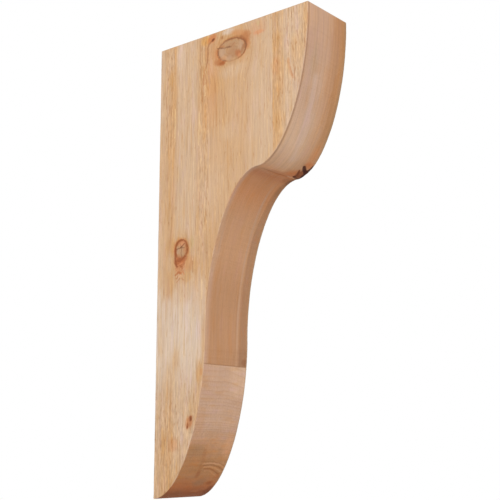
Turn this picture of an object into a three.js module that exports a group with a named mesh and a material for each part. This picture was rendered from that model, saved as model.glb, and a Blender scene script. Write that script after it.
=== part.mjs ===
// Wooden corbel bracket, cut from one length of softwood timber.
// Millimetres. X runs across the thickness, the front looks along -Y, and Z is up.
// The flat back lies in the plane Y = 0, and the origin is the middle of that face.

import * as THREE from "three";

// The timber's thickness, and the small easing of its long edges
const THICKNESS = 89;
const EASED_EDGE = 0.8;

// The sawn front, from the top down. Each sweep moves towards the wall by its reach
// while it falls by its drop: an upper bulge, a hollow and a lower bulge.
const UPPER_BULGE = { reach: 85.5, drop: 207 };
const HOLLOW = { reach: 89, drop: 214.5 };
const LOWER_BULGE = { reach: 90.5, drop: 215 };

// How full each sweep is: its end tangents, as shares of its reach and of its drop
const LEVEL_FULLNESS = 0.494;
const UPRIGHT_FULLNESS = 0.534;

// Straight steps along each sweep
const SWEEP_STEPS = 40;

const PROJECTION = UPPER_BULGE.reach + HOLLOW.reach + LOWER_BULGE.reach;
const HEIGHT = UPPER_BULGE.drop + HOLLOW.drop + LOWER_BULGE.drop;
const TOP = HEIGHT / 2;
const BOTTOM = -HEIGHT / 2;

const CEDAR = new THREE.MeshStandardMaterial({
  color: 0xd3a983,
  roughness: 0.82,
  metalness: 0,
});

// A bulge leaves its upper end straight down and arrives level at its lower end.
function bulge(outline, from, size) {
  const to = { out: from.out - size.reach, up: from.up - size.drop };
  outline.bezierCurveTo(
    from.out,
    from.up - UPRIGHT_FULLNESS * size.drop,
    to.out + LEVEL_FULLNESS * size.reach,
    to.up,
    to.out,
    to.up,
  );
  return to;
}

// A hollow leaves its upper end level and arrives straight down at its lower end.
function hollow(outline, from, size) {
  const to = { out: from.out - size.reach, up: from.up - size.drop };
  outline.bezierCurveTo(
    from.out - LEVEL_FULLNESS * size.reach,
    from.up,
    to.out,
    to.up + UPRIGHT_FULLNESS * size.drop,
    to.out,
    to.up,
  );
  return to;
}

// The side view: distance out from the wall across, height up
function sideOutline() {
  const outline = new THREE.Shape();
  const topFront = { out: PROJECTION, up: TOP };
  outline.moveTo(0, BOTTOM);
  outline.lineTo(0, TOP);
  outline.lineTo(topFront.out, topFront.up);
  const belowUpperBulge = bulge(outline, topFront, UPPER_BULGE);
  const belowHollow = hollow(outline, belowUpperBulge, HOLLOW);
  bulge(outline, belowHollow, LOWER_BULGE);
  return outline;
}

function bracketBlock() {
  const body = THICKNESS - 2 * EASED_EDGE;
  const geometry = new THREE.ExtrudeGeometry(sideOutline(), {
    depth: body,
    curveSegments: SWEEP_STEPS,
    bevelEnabled: true,
    bevelThickness: EASED_EDGE,
    bevelSize: EASED_EDGE,
    bevelOffset: -EASED_EDGE,
    bevelSegments: 1,
  });
  geometry.translate(0, 0, -body / 2);

  // Out from the wall becomes -Y, up becomes Z, and the extrusion runs along -X.
  const outFromWall = new THREE.Vector3(0, -1, 0);
  const up = new THREE.Vector3(0, 0, 1);
  const across = new THREE.Vector3(-1, 0, 0);
  const placing = new THREE.Matrix4().makeBasis(outFromWall, up, across);

  const mesh = new THREE.Mesh(geometry, CEDAR);
  mesh.name = "bracket";
  mesh.quaternion.setFromRotationMatrix(placing);
  return mesh;
}

const corbel = new THREE.Group();
corbel.add(bracketBlock());

export default corbel;
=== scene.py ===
import math
from collections import namedtuple

import bpy
import numpy as np
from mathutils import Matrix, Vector


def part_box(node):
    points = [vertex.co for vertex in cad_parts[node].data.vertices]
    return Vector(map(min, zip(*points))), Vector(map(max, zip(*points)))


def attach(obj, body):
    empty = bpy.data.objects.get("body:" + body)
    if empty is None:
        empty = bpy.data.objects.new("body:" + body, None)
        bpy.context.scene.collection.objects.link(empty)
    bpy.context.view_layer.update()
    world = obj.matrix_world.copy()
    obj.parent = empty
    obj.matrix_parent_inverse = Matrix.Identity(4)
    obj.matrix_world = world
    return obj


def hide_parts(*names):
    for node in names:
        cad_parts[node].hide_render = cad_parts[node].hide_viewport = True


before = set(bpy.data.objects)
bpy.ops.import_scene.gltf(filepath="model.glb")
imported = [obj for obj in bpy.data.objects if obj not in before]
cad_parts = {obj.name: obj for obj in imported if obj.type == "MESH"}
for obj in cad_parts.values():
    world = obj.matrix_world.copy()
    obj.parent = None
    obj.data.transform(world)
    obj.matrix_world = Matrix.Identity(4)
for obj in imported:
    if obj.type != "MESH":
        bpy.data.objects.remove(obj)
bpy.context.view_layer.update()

# Lengths below are millimetres unless a name says metres. "out" is the distance from the
# wall, "down" the distance below the top, x runs across the thickness, and "sweep" is the
# distance travelled down the sawn front.
METRE = 1000
TURN = 2 * math.pi
box_low, box_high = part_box("bracket")
HALF_THICKNESS = box_high[0] * METRE
PROJECTION = -box_low[1] * METRE
TOP = box_high[2] * METRE
HEIGHT = (box_high[2] - box_low[2]) * METRE

# The sawn front, from the top down, and how full its sweeps are
Sweep = namedtuple("Sweep", "reach drop")
UPPER_BULGE = Sweep(85.5, 207)
HOLLOW = Sweep(89, 214.5)
LOWER_BULGE = Sweep(
    PROJECTION - UPPER_BULGE.reach - HOLLOW.reach,
    HEIGHT - UPPER_BULGE.drop - HOLLOW.drop,
)
LEVEL_FULLNESS = 0.494
UPRIGHT_FULLNESS = 0.534

# Where the tone of the front changes, as a distance down its sweep
SWEEP_OF_TONE_SEAM = 524

# Places of the timber's materials in its list
NEAR_SIDE, FRONT, OTHER_FACES = range(3)


def smooth(start, end, value):
    """0 before start, 1 after end, and a smooth rise between."""
    t = np.clip((value - start) / (end - start), 0, 1)
    return t * t * (3 - 2 * t)


def sweep_points(start, size, hollow, count):
    """Points (out, down) along one sweep of the front."""
    end = start + (-size.reach, size.drop)
    level = np.array((LEVEL_FULLNESS * size.reach, 0))
    upright = np.array((0, UPRIGHT_FULLNESS * size.drop))
    if hollow:
        near_start, near_end = start - level, end - upright
    else:
        near_start, near_end = start + upright, end + level
    t = np.linspace(0, 1, count)[:, None]
    return (
        (1 - t) ** 3 * start
        + 3 * (1 - t) ** 2 * t * near_start
        + 3 * (1 - t) * t ** 2 * near_end
        + t ** 3 * end
    )


def front_curve(count=900):
    """The whole front as closely spaced points (out, down), with the sweep to each."""
    points = [np.array([[PROJECTION, 0]])]
    for size, hollow in ((UPPER_BULGE, False), (HOLLOW, True), (LOWER_BULGE, False)):
        points.append(sweep_points(points[-1][-1], size, hollow, count)[1:])
    points = np.concatenate(points)
    steps = np.linalg.norm(np.diff(points, axis=0), axis=1)
    return points, np.concatenate([[0], np.cumsum(steps)])


CURVE, CURVE_SWEEP = front_curve()
SWEEP_LENGTH = CURVE_SWEEP[-1]


def on_front(sweep):
    """The point (out, down) and the outward direction of the front at each sweep."""
    def at(sweep):
        return np.stack([np.interp(sweep, CURVE_SWEEP, CURVE[:, k]) for k in (0, 1)], -1)

    reach = 0.8
    run = at(sweep + reach) - at(sweep - reach)
    along = run / np.linalg.norm(run, axis=1)[:, None]
    return at(sweep), np.stack([along[:, 1], -along[:, 0]], -1)


def graded(start, end, coarse, zones):
    """Positions from start to end, coarse apart, and closer in each zone (from, to, step)."""
    fine = np.linspace(start, end, 6000)
    density = np.full_like(fine, 1 / coarse)
    for zone_start, zone_end, step in zones:
        margin = 3 * coarse
        inside = smooth(zone_start - margin, zone_start, fine)
        inside = inside * (1 - smooth(zone_end, zone_end + margin, fine))
        density = np.maximum(density, inside / step)
    total = np.concatenate([[0], np.cumsum(0.5 * (density[1:] + density[:-1]) * np.diff(fine))])
    count = int(round(total[-1]))
    return np.interp(np.linspace(0, total[-1], count + 1), total, fine)


def wander(position, length, seed):
    """A smooth, repeatable wandering between about -1 and 1 along a line."""
    turns = position * (TURN / length)
    return (
        np.sin(turns + 1.7 * seed)
        + 0.6 * np.sin(1.93 * turns + 2.9 * seed + 1)
        + 0.4 * np.sin(3.71 * turns + 4.3 * seed + 2)
    ) / 2


def hump(away, power=2):
    """1 where away is 0, falling towards 0 beyond 1."""
    return np.exp(-away ** power)


# Knots on the near and the far side, (out, down), the dots of the small knot with their radii,
# and a dark spot beside the torn grain
Knot = namedtuple("Knot", "centre radii tilt")
NEAR_KNOTS = (Knot((135, 33), (25, 16.2), 4), Knot((45, 302), (11.4, 13.2), 0))
FAR_KNOTS = (Knot((62, 176), (15, 12), -8), Knot((38, 455), (8, 9.5), 5))
SMALL_KNOT_DOTS = ((65.5, 532, 2.3), (60, 540.5, 1.8))
DARK_SPOT = Knot((100, 10), (3.8, 2.2), -22)

# The dead knot in the far corner of the front: its arms as (x, sweep) points, and its far face
UPPER_ARM = ((25.8, 210.5), (30.5, 213), (33.5, 216), (39, 219))
LOWER_ARM = ((25, 218.5), (28, 224), (31.5, 229), (30, 233.5))
DEAD_KNOT_FAR_FACE = Knot((188, 207), (12, 8), 0)


def oval_distance(across, along, knot):
    """Distance from a knot's centre, 1 on its rim."""
    tilt = math.radians(knot.tilt)
    u = across - knot.centre[0]
    v = along - knot.centre[1]
    a = (u * math.cos(tilt) + v * math.sin(tilt)) / knot.radii[0]
    b = (v * math.cos(tilt) - u * math.sin(tilt)) / knot.radii[1]
    return np.hypot(a, b)


def line_distance(across, along, points):
    """Distance from a bent line through the points."""
    nearest = np.full(np.broadcast(across, along).shape, 1e9)
    for start, end in zip(points[:-1], points[1:]):
        run = (end[0] - start[0], end[1] - start[1])
        share = ((across - start[0]) * run[0] + (along - start[1]) * run[1])
        share = np.clip(share / (run[0] ** 2 + run[1] ** 2), 0, 1)
        away = np.hypot(across - start[0] - share * run[0], along - start[1] - share * run[1])
        nearest = np.minimum(nearest, away)
    return nearest


# The relief of each face is a depth into the timber. These are the deepest of it: the knots'
# sunk rings and their hearts, the pits of the small knot and the dark spot, the torn grain, and
# the arms and far face of the dead knot.
UPPER_RING, UPPER_HEART = 0.75, 0.35
LOWER_RING, LOWER_HEART = 0.85, 0.4
FAR_RING, FAR_HEART = 0.6, 0.3
SMALL_PIT = 1.1
SPOT_PIT = 1
TORN_DEPTH = 0.22
SEAM_GROOVE = 0.35
UPPER_ARM_DEPTH, LOWER_ARM_DEPTH, ROT_DEPTH = 1.6, 1, 0.5


def ripple(deepest, position, length, sway):
    """The saw's even ripple, as long as the length and swayed a little sideways."""
    return deepest / 2 * (1 + np.sin(position * (TURN / length) + sway))


def unevenness(deepest, swing):
    """A slight unevenness between flat and deepest, from a swing of about -0.5 to 0.5."""
    return deepest * np.clip(0.5 + swing, 0, 1)


def knot_relief(across, along, knot, ring_depth, heart_depth):
    """A sunk ring, a little uneven, and a heart with ripples of its own."""
    away = oval_distance(across, along, knot)
    angle = np.arctan2(along - knot.centre[1], across - knot.centre[0])
    away = away + 0.04 * np.sin(3 * angle + 1) + 0.03 * np.sin(5 * angle)
    ring = ring_depth * hump((away - 1) / 0.09) * (0.75 + 0.25 * np.sin(2 * angle + 0.6))
    heart = heart_depth * (1 - smooth(0.7, 0.95, away)) * (0.7 + 0.3 * np.sin(11 * away))
    return ring + heart


def relief_of_side(out, down, side):
    """Saw ripple, a slight unevenness, and the sunk rings, cracks and pits of the knots."""
    seed = 1 if side == "near" else 6
    depth = unevenness(0.16, 0.25 * wander(out, 47, seed) + 0.25 * wander(down, 160, seed + 1))
    depth += ripple(0.04, down, 9.5, wander(out, 90, seed))
    if side == "near":
        depth += knot_relief(out, down, NEAR_KNOTS[0], UPPER_RING, UPPER_HEART)
        depth += knot_relief(out, down, NEAR_KNOTS[1], LOWER_RING, LOWER_HEART)
        for dot_out, dot_down, radius in SMALL_KNOT_DOTS:
            depth += SMALL_PIT * hump(np.hypot(out - dot_out, down - dot_down) / radius)
        depth += SPOT_PIT * hump(oval_distance(out, down, DARK_SPOT))
        torn = hump((out - 86.5) / 5) * smooth(8, 20, down) * (1 - smooth(75, 100, down))
        depth += TORN_DEPTH * torn * (1 + wander(down, 7, 4))
    else:
        for knot in FAR_KNOTS:
            depth += knot_relief(out, down, knot, FAR_RING, FAR_HEART)
        depth += ROT_DEPTH * hump(oval_distance(out, down, DEAD_KNOT_FAR_FACE), 4)
    return depth


def relief_of_front(x, sweep):
    """Shallow flats left by the saw, the groove at the change of tone, and the dead knot."""
    depth = ripple(0.1, sweep, 8.5, 0.8 * wander(x, 80, 2))
    depth += unevenness(0.1, 0.5 * wander(sweep, 170, 3))
    depth += SEAM_GROOVE * hump((sweep - SWEEP_OF_TONE_SEAM) / 0.9)
    arms = UPPER_ARM_DEPTH * hump(line_distance(x, sweep, UPPER_ARM) / 2.4)
    arms = np.maximum(arms, LOWER_ARM_DEPTH * hump(line_distance(x, sweep, LOWER_ARM) / 1.8))
    rot = ROT_DEPTH * hump(np.hypot((x - 43) / 3.5, (sweep - 219) / 9), 4)
    return depth + np.maximum(arms * (1 - smooth(36, 43, x)), rot)


def relief_of_back(x, down):
    return ripple(0.04, down, 11, wander(x, 70, 8)) + unevenness(0.12, 0.5 * wander(down, 190, 9))


def relief_of_top(x, out):
    return unevenness(0.1, 0.3 * wander(x, 60, 11) + 0.3 * wander(out, 75, 12))


def eased_edge(sweep, seed):
    """How far the long edges are worn back at each sweep."""
    usual, least = 0.8, 0.45
    wear = usual + 0.25 * wander(sweep, 61, seed) + 0.12 * wander(sweep, 9, seed + 3)
    return np.maximum(wear, least)


# The mesh: the easing of the top's rim, the gap left at the tip, the steps down the sweep, across
# a side and across the front, and where they are finer, as (from, to, step)
TOP_EASE = 0.7
TIP_GAP = 1.2
ROW_STEP = 2.6
SIDE_STEP = 1 / 64
FRONT_STEP = 1 / 17
SWEEP_ZONES = ((8, 58, 1.3), (204, 246, 1.3), (326, 400, 1.3), (518, 530, 1), (592, 622, 1.4))
SIDE_ZONES = ((0.28, 0.64, 1 / 110),)
FRONT_ZONES = ((0.5, 1, 1 / 30),)


def timber_mesh():
    """One closed mesh: rows down the sweep, each a loop around the bracket's section."""
    rows = graded(TOP_EASE, SWEEP_LENGTH - TIP_GAP, ROW_STEP, SWEEP_ZONES)
    columns = graded(0, 1, SIDE_STEP, SIDE_ZONES)
    across = (graded(-1, 1, FRONT_STEP, FRONT_ZONES) + 1) / 2
    row_count, side_count, front_count = len(rows), len(columns), len(across)

    place, outward = on_front(rows)
    back_down = TOP_EASE + (HEIGHT - TOP_EASE) * (rows - TOP_EASE) / (SWEEP_LENGTH - TOP_EASE)
    diagonal = 1 - math.sqrt(0.5)
    thin_tip = 6
    thin = np.minimum(1, place[:, 0] / thin_tip)
    near_front, far_front = (eased_edge(rows, seed) * thin for seed in (1, 2))
    near_back, far_back = (eased_edge(rows, seed) * 0.9 * thin for seed in (5, 7))

    def side_part(sign, front_edge, back_edge, side):
        front_rim = place - front_edge[:, None] * outward
        out = back_edge[:, None] * (1 - columns) + front_rim[:, :1] * columns
        down = back_down[:, None] * (1 - columns) + front_rim[:, 1:] * columns
        depth = relief_of_side(out, down, side)
        return np.stack([sign * (HALF_THICKNESS - depth), out, down], -1)

    def x_between(near_edge, far_edge):
        left = near_edge[:, None] - HALF_THICKNESS
        right = HALF_THICKNESS - far_edge[:, None]
        return left * (1 - across) + right * across

    near = side_part(-1, near_front, near_back, "near")
    far = side_part(1, far_front, far_back, "far")[:, ::-1]

    x = x_between(near_front, far_front)
    depth = relief_of_front(x, rows[:, None] + 0 * x)
    front_place = place[:, None, :] - depth[:, :, None] * outward[:, None, :]
    front = np.concatenate([x[:, :, None], front_place], -1)

    x = x_between(near_back, far_back)
    down = back_down[:, None] + 0 * x
    back = np.stack([x, relief_of_back(x, down), down], -1)[:, ::-1]

    def corner(side, face):
        """The middle of an eased edge, between the last points of a side and a face."""
        x = side[:, :1] + diagonal * (face[:, :1] - side[:, :1])
        rest = face[:, 1:] + diagonal * (side[:, 1:] - face[:, 1:])
        return np.concatenate([x, rest], 1)[:, None, :]

    loop = np.concatenate([
        near,
        corner(near[:, -1], front[:, 0]),
        front,
        corner(far[:, 0], front[:, -1]),
        far,
        corner(far[:, -1], back[:, 0]),
        back,
        corner(near[:, 0], back[:, -1]),
    ], 1)
    loop_count = loop.shape[1]

    def face_weight(face):
        """1 on one face of the loop (near, front, far or back) and a half on its eased edges."""
        parts = []
        for part, size in enumerate((side_count, front_count, side_count, front_count)):
            parts.append(np.full(size, float(part == face)))
            parts.append([0.5 if face in (part, (part + 1) % 4) else 0])
        return np.concatenate(parts)

    def rim_distance():
        """How far each point of the loops is from the nearest long edge or the top."""
        parts = []
        for face in (near, front, far, back):
            to_long_edge = HALF_THICKNESS - np.abs(face[:, :, 0])
            if face is near or face is far:
                to_front = (place[:, None, :] - face[:, :, 1:]) * outward[:, None, :]
                to_long_edge = np.minimum(face[:, :, 1], to_front.sum(-1))
            to_top = rows[:, None] if face is front else face[:, :, 2]
            parts += [np.minimum(to_long_edge, to_top), np.zeros((row_count, 1))]
        return np.concatenate(parts, 1)

    # The eased rim of the top: the first loop drawn in and up, in two steps
    middle = PROJECTION / 2

    def drawn_in(inset, down):
        ring = loop[0].copy()
        ring[:, 0] *= 1 - inset / HALF_THICKNESS
        ring[:, 1] = middle + (ring[:, 1] - middle) * (1 - inset / middle)
        ring[:, 2] = down
        return ring

    rim = drawn_in(diagonal * TOP_EASE, diagonal * TOP_EASE)
    cap_edge = drawn_in(TOP_EASE, 0)

    # The inside of the top, on a grid between the near and far sides
    after_front = side_count + 1 + front_count
    inner_x, inner_out = np.meshgrid(cap_edge[side_count + 1:after_front, 0], cap_edge[:side_count, 1])
    inner = np.stack([inner_x, inner_out, relief_of_top(inner_x, inner_out)], -1).reshape(-1, 3)
    points = np.concatenate([cap_edge, rim, loop.reshape(-1, 3), inner])

    # What the shading reads at each point: on the edge of the top, its rim, the rows and the inside
    inner_rim = np.minimum(HALF_THICKNESS - np.abs(inner[:, 0]), inner[:, 1])
    inner_rim = np.minimum(inner_rim, PROJECTION - inner[:, 1])
    none, no_inner = np.zeros(loop_count), np.zeros(len(inner))
    shading = {
        "sweep": [none, none, np.repeat(rows, loop_count), no_inner],
        "rim": [none, none, rim_distance().reshape(-1), inner_rim],
        "top": [none + 1, none + 0.5, np.zeros(row_count * loop_count), no_inner + 1],
    }
    for face, name in enumerate(("near_side", "front", "far_side", "back")):
        weight = face_weight(face)
        shading[name] = [none, 0.5 * weight, np.tile(weight, row_count), no_inner]

    index = np.arange((row_count + 2) * loop_count).reshape(row_count + 2, loop_count)
    following = np.roll(index, -1, axis=1)
    quads = np.stack([index[:-1], index[1:], following[1:], following[:-1]], -1)

    grid = np.empty((side_count + 2, front_count + 2), int)
    grid[1:-1, 1:-1] = index.size + np.arange(len(inner)).reshape(side_count, front_count)
    after_parts = np.cumsum((side_count + 1, front_count + 1, side_count + 1))
    near_ring, front_ring, far_ring, back_ring = np.split(index[0], after_parts)
    grid[1:, 0] = near_ring
    grid[-1, 1:] = front_ring
    grid[:-1, -1] = far_ring[::-1]
    grid[0, :-1] = back_ring[::-1]
    cap = np.stack([grid[:-1, :-1], grid[1:, :-1], grid[1:, 1:], grid[:-1, 1:]], -1)
    faces = np.concatenate([quads.reshape(-1, 4), cap.reshape(-1, 4)[:, ::-1]])
    tip = index[-1].tolist()

    mesh = bpy.data.meshes.new("bracket_timber")
    place_in_frame = np.stack([points[:, 0], -points[:, 1], TOP - points[:, 2]], -1) / METRE
    mesh.from_pydata(place_in_frame.tolist(), [], faces.tolist() + [tip])
    for name, parts in shading.items():
        attribute = mesh.attributes.new(name, "FLOAT", "POINT")
        attribute.data.foreach_set("value", np.concatenate(parts).astype(np.float32))

    # The near side and the front each have a material of their own, as the rest has
    material_of_face = np.full(len(faces) + 1, OTHER_FACES)
    for material, name in ((NEAR_SIDE, "near_side"), (FRONT, "front")):
        weight = np.concatenate(shading[name])[faces].mean(axis=1)
        material_of_face[:-1][weight >= 0.5] = material
    mesh.polygons.foreach_set("material_index", material_of_face)
    mesh.update()
    return mesh


def area_weighted_normals(mesh):
    """Vertex normals that lean on the larger faces, so that eased edges stay crisp."""
    count = len(mesh.vertices)
    place = np.empty(count * 3)
    mesh.vertices.foreach_get("co", place)
    place = place.reshape(-1, 3)
    mesh.calc_loop_triangles()
    corners = np.empty(len(mesh.loop_triangles) * 3, int)
    mesh.loop_triangles.foreach_get("vertices", corners)
    corners = corners.reshape(-1, 3)
    a, b, c = (place[corners[:, k]] for k in range(3))
    face = np.cross(b - a, c - a)
    normals = np.zeros_like(place)
    for k in range(3):
        np.add.at(normals, corners[:, k], face)
    length = np.linalg.norm(normals, axis=1)
    return normals / np.maximum(length, 1e-20)[:, None]


def tone(red, green, blue):
    """A display colour, 0 to 255, as the linear colour that a shader takes."""
    linear = []
    for value in (red / 255, green / 255, blue / 255):
        linear.append(value / 12.92 if value <= 0.04045 else ((value + 0.055) / 1.055) ** 2.4)
    return (*linear, 1)


class Value:
    """A number or colour that varies over the surface; sums and products give new Values."""

    def __init__(self, shade, socket):
        self.shade = shade
        self.socket = socket


def arithmetic(operation, swapped):
    """A method that joins a Value with a Value or a number, in either order."""
    def method(value, other):
        pair = (other, value) if swapped else (value, other)
        return value.shade.math(operation, *pair)
    return method


for sign, operation in (("add", "ADD"), ("sub", "SUBTRACT"), ("mul", "MULTIPLY"), ("truediv", "DIVIDE")):
    setattr(Value, f"__{sign}__", arithmetic(operation, False))
    setattr(Value, f"__r{sign}__", arithmetic(operation, True))


# How far each seed moves a noise, along its three directions
SHIFT_OF_SEED = (11.3, 5.7, 3.1)


class Shade:
    """Builds the nodes of a tree out of Values."""

    groups = {}

    def __init__(self, tree):
        self.tree = tree

    def node(self, kind, **settings):
        made = self.tree.nodes.new(kind)
        for name, value in settings.items():
            setattr(made, name, value)
        return made

    def put(self, socket, value):
        if isinstance(value, Value):
            self.tree.links.new(value.socket, socket)
        else:
            socket.default_value = value

    def filled(self, made, inputs, output=0):
        """One result of a node, once its inputs, by number or name, have their values."""
        for key, value in inputs.items():
            self.put(made.inputs[key], value)
        return Value(self, made.outputs[output])

    def math(self, operation, *values):
        return self.filled(self.node("ShaderNodeMath", operation=operation), dict(enumerate(values)))

    def absolute(self, value):
        return self.math("ABSOLUTE", value)

    def vector(self, x, y, z):
        return self.filled(self.node("ShaderNodeCombineXYZ"), {"X": x, "Y": y, "Z": z})

    def attribute(self, name):
        made = self.node("ShaderNodeAttribute", attribute_type="GEOMETRY", attribute_name=name)
        return self.filled(made, {}, "Fac")

    def grouped(self, name, kind, fill, *values):
        """The result of fill on the values, through one node group kept for every use."""
        if name not in Shade.groups:
            tree = bpy.data.node_groups.new(name, "ShaderNodeTree")
            for number in range(len(values)):
                tree.interface.new_socket(f"input_{number}", in_out="INPUT", socket_type=kind)
            tree.interface.new_socket("result", in_out="OUTPUT", socket_type=kind)
            inside = Shade(tree)
            entry = inside.node("NodeGroupInput").outputs
            result = fill(inside, *(Value(inside, entry[number]) for number in range(len(values))))
            inside.put(inside.node("NodeGroupOutput").inputs[0], result)
            Shade.groups[name] = tree
        made = self.node("ShaderNodeGroup", node_tree=Shade.groups[name])
        return self.filled(made, dict(enumerate(values)))

    def smooth(self, start, end, value):
        """0 at start, 1 at end, and a smooth rise between; start may lie above end."""
        made = self.node("ShaderNodeMapRange", interpolation_type="SMOOTHSTEP")
        return self.filled(made, {
            "Value": value,
            "From Min": min(start, end),
            "From Max": max(start, end),
            "To Min": float(end < start),
            "To Max": float(end >= start),
        })

    def between(self, start, end, soft, value):
        """1 from start to end, with smooth margins outside."""
        return self.smooth(start - soft, start, value) * self.smooth(end + soft, end, value)

    def stripe(self, value, centre, half, soft):
        """1 within half of the centre, falling to 0 over the soft margin outside."""
        return self.smooth(half + soft, half, self.absolute(value - centre))

    def noise(self, place, sizes, seed, detail=1):
        """Noise about 0, mostly between -1 and 1, with features of the given sizes."""
        scaled = self.filled(self.node("ShaderNodeVectorMath", operation="MULTIPLY_ADD"), {
            0: place,
            1: [1 / size for size in sizes],
            2: [shift * seed for shift in SHIFT_OF_SEED],
        })
        made = self.node("ShaderNodeTexNoise", noise_dimensions="3D")
        inputs = {"Vector": scaled, "Scale": 1, "Detail": detail, "Roughness": 0.5}
        spread = 3.5
        return self.math("MULTIPLY_ADD", self.filled(made, inputs, "Fac"), spread, -spread / 2)

    def random(self, number):
        made = self.node("ShaderNodeTexWhiteNoise", noise_dimensions="1D")
        return self.filled(made, {"W": number}, "Value")

    def oval(self, across, along, centre, radii, tilt=0):
        """Distance from an oval's centre, 1 on its rim."""
        turn = math.radians(tilt)
        return self.grouped(
            "oval_distance", "NodeSocketFloat", oval_distance_nodes,
            across, along, *centre, 1 / radii[0], 1 / radii[1], math.cos(turn), math.sin(turn),
        )

    def line(self, across, along, points, half, soft):
        """1 on the bent line through the points, falling to 0 over the soft margin beside it."""
        nearest = None
        for start, end in zip(points[:-1], points[1:]):
            run = (end[0] - start[0], end[1] - start[1])
            squared = run[0] ** 2 + run[1] ** 2
            away = self.grouped(
                "line_distance", "NodeSocketFloat", line_distance_nodes,
                across, along, *start, *run, run[0] / squared, run[1] / squared,
            )
            nearest = away if nearest is None else self.math("MINIMUM", nearest, away)
        return self.smooth(half + soft, half, nearest)

    def ramp(self, value, stops):
        """Tones along a value, from (place, tone) stops."""
        low, high = stops[0][0], stops[-1][0]
        made = self.node("ShaderNodeValToRGB")
        elements = made.color_ramp.elements
        elements.remove(elements[1])
        for order, (place, colour) in enumerate(stops):
            share = (place - low) / (high - low)
            element = elements[0] if order == 0 else elements.new(share)
            element.position = share
            element.color = tone(*colour)
        return self.filled(made, {"Fac": (value - low) / (high - low)})

    def mixed(self, blend, share, under, over):
        """One colour laid over another by a share, or multiplied into it."""
        made = self.node("ShaderNodeMix", data_type="RGBA", blend_type=blend)
        return self.filled(made, {0: share, 6: under, 7: over}, 2)


def oval_distance_nodes(shade, across, along, centre_across, centre_along, scale_a, scale_b, cos, sin):
    u = across - centre_across
    v = along - centre_along
    a = (u * cos + v * sin) * scale_a
    b = (v * cos - u * sin) * scale_b
    return shade.math("SQRT", a * a + b * b)


def line_distance_nodes(shade, across, along, start_u, start_v, run_u, run_v, part_u, part_v):
    u = across - start_u
    v = along - start_v
    share = shade.math("MAXIMUM", u * part_u + v * part_v, 0)
    share = shade.math("MINIMUM", share, 1)
    away_u = u - share * run_u
    away_v = v - share * run_v
    return shade.math("SQRT", away_u * away_u + away_v * away_v)


# The tones of the timber, as display colours, from the lightest to the darkest
CREAM = (207, 176, 132)
BISQUE = (204, 168, 138)
SHELL = (198, 167, 147)
PEACH = (198, 156, 122)
APRICOT = (200, 148, 107)
BLEACHED = (182, 163, 145)
PALE = (180, 156, 135)
OAT = (177, 150, 124)
ROSE = (187, 151, 125)
BLUSH = (183, 145, 117)
STRAW = (174, 146, 118)
OLIVE = (172, 148, 106)
TAN = (172, 139, 105)
HONEY = (171, 135, 97)
TAWNY = (184, 138, 101)
ORANGE = (190, 133, 91)
FAWN = (173, 128, 92)
AMBER = (170, 129, 82)
GOLD = (180, 133, 72)
DRAB = (161, 129, 103)
OCHRE = (171, 123, 80)
SALMON = (181, 121, 82)
PUTTY = (155, 120, 87)
CORAL = (188, 114, 66)
GINGER = (168, 117, 74)
COPPER = (164, 109, 70)
CLAY = (147, 107, 75)
RUST = (168, 101, 56)
SIENNA = (153, 98, 57)
BRONZE = (144, 99, 59)
RUSSET = (148, 86, 47)
COCOA = (134, 85, 51)
MAHOGANY = (137, 76, 36)
WALNUT = (116, 76, 48)
BARK = (106, 66, 40)
CHESTNUT = (122, 63, 28)
UMBER = (96, 47, 20)
PITCH = (69, 24, 6)

# Tones of the sides along "out", of the front down its sweep, and of the other faces
SIDE_TONES = (
    (0, OAT), (5, STRAW), (14, TAN), (28.5, HONEY), (30.5, TAN), (37, STRAW), (67, STRAW),
    (75, TAN), (87, TAN), (101, HONEY), (117, HONEY), (135, TAN), (155, TAN),
    (178, STRAW), (205, STRAW), (206.5, HONEY), (214, HONEY), (221, TAN), (227, STRAW),
    (245, STRAW), (265, TAN),
)
# Where the front turns level, from the foot of the upper bulge into the top of the hollow, its tones are
# darker and warmer: partly the end grain's own darker tone, partly painted shade on these
# downward-facing parts
UPPER_FRONT_TONES = (
    (0, BLUSH), (60, BLUSH), (100, ROSE), (125, ROSE), (185, BISQUE), (222, PEACH),
    (233, APRICOT), (239, TAWNY), (249, SALMON), (262, ORANGE), (285, ORANGE),
    (325, TAWNY), (375, TAWNY), (425, FAWN), (524, FAWN),
)
# Towards its foot the front's tones darken: partly the end grain's own darker tone, partly painted shade
# on the downward-facing underside
LOWER_FRONT_TONES = (
    (524, ROSE), (605, ROSE), (616, BLUSH), (632, TAWNY), (660, OCHRE), (680, GINGER),
    (697, RUST), (710, MAHOGANY),
)
BACK_TONE = TAN
TOP_TONE = HONEY

# Growth rings: their spacing, and where the pith of the tree lay
RING_SPACING = 2.1
PITH_BEHIND_WALL = 150
PITH_X = -34

# Bands of the near side where the saw tore the grain: from and to along "out", ending "down"
TORN_BANDS = ((13, 27, 160), (77, 92, 300), (207, 222, 210), (228, 262, 130))

# Marks on a face, in the two directions of the face
Oval = namedtuple("Oval", "across along half_width half_height share laid tilt soft", defaults=(0, 0.5))
Line = namedtuple("Line", "points half soft share laid")

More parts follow.
